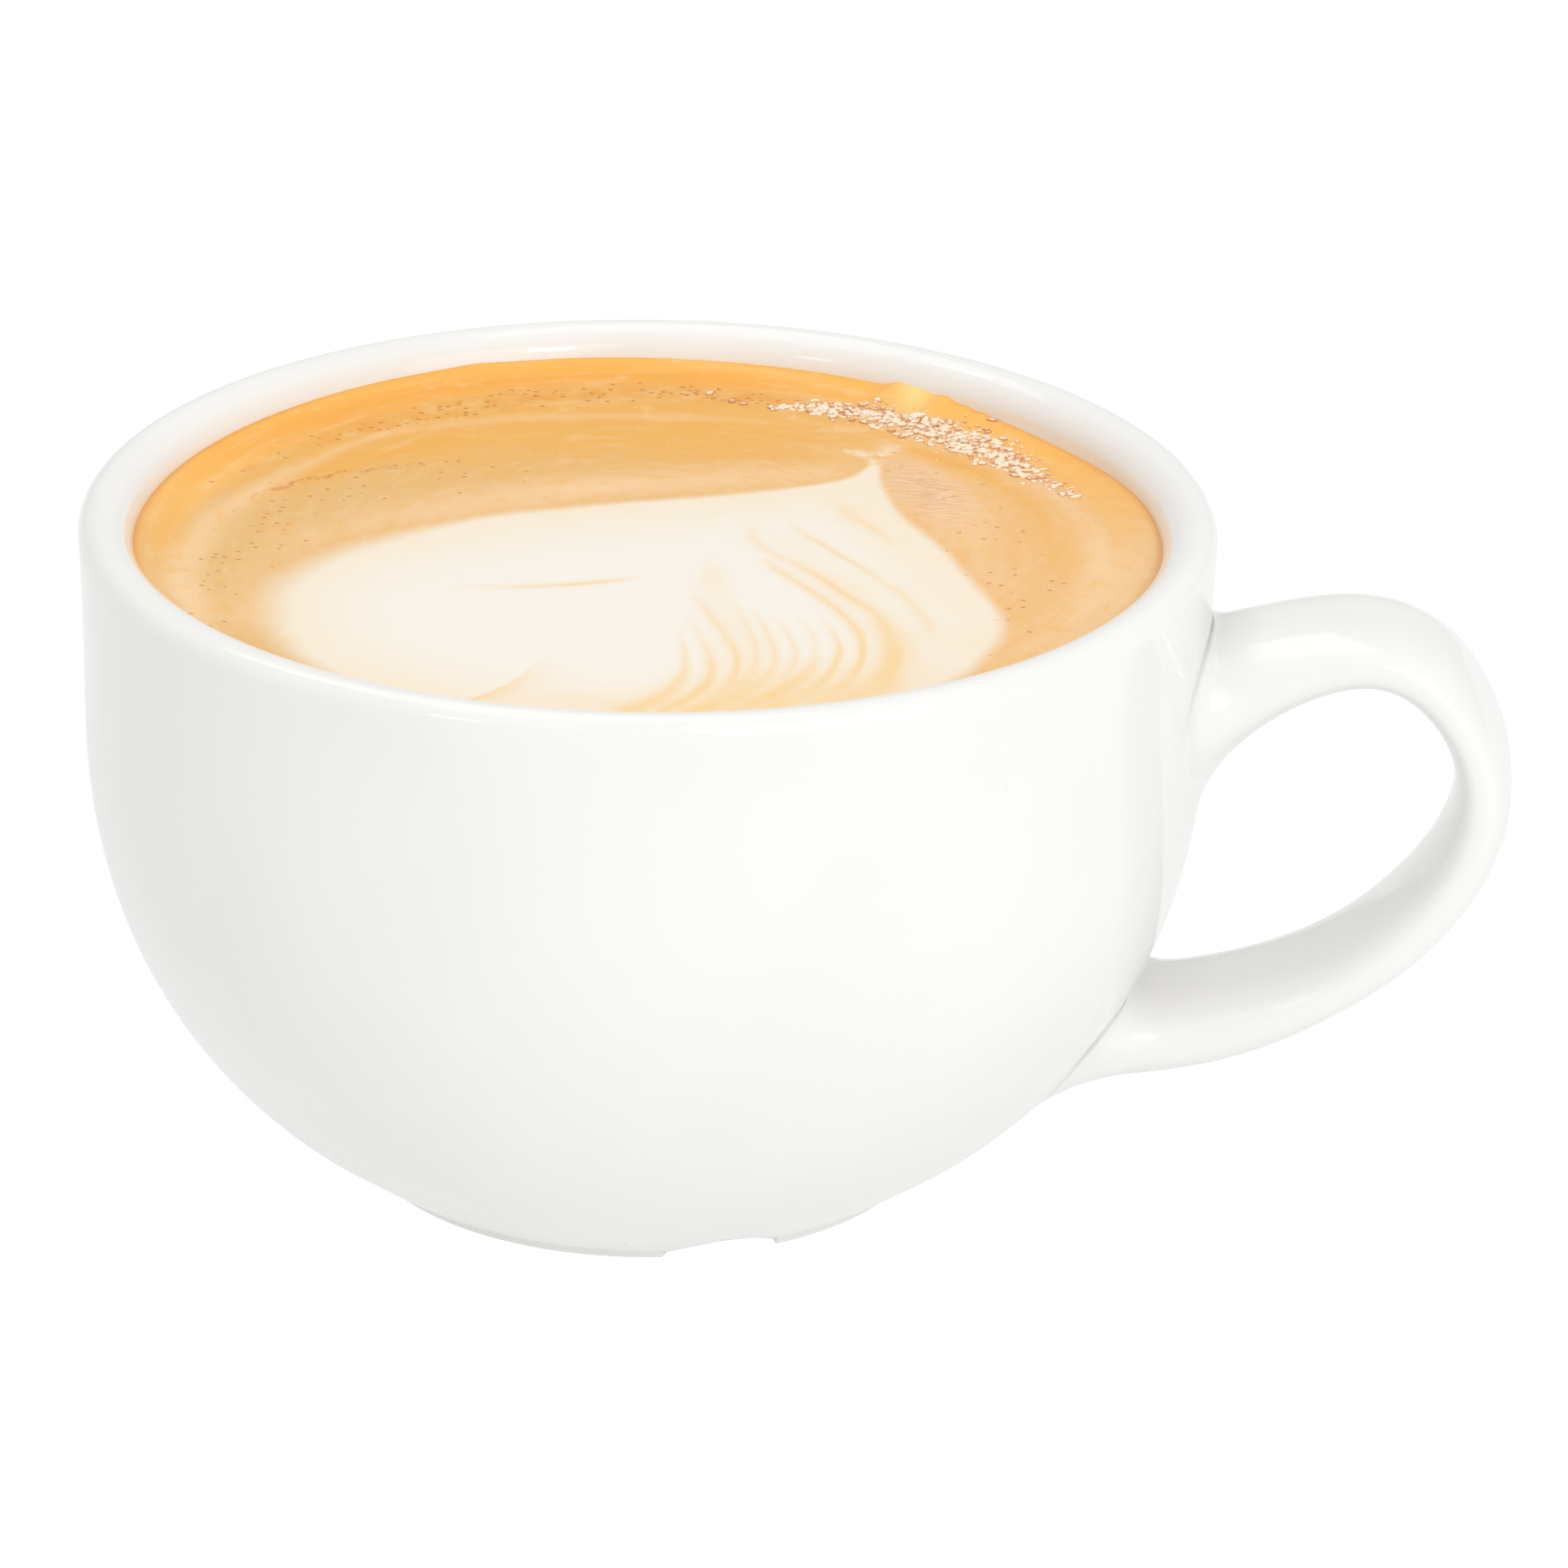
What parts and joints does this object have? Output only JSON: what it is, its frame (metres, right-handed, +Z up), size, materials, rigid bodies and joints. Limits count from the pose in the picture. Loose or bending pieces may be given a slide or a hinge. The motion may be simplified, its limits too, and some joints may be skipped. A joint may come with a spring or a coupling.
{
  "type": "cup of cappuccino",
  "caption": "Cappuccino with a poured milk leaf on its crema, in a wide white glazed cup with a strap handle and a low foot ring.",
  "frame": {"origin": "on the surface that the cup stands on, below the middle of the cup and its handle together", "axes": "+Z up, +X from the bowl towards its handle, and the bowl's axis stands a little to the -X side of the origin"},
  "size_m": [0.1368, 0.108, 0.0659],
  "materials": {
    "glaze": "gloss",
    "foam": "satin"
  },
  "bodies": {
    "root": {"cup": "glaze", "cappuccino": "foam"}
  },
  "joints": []
}
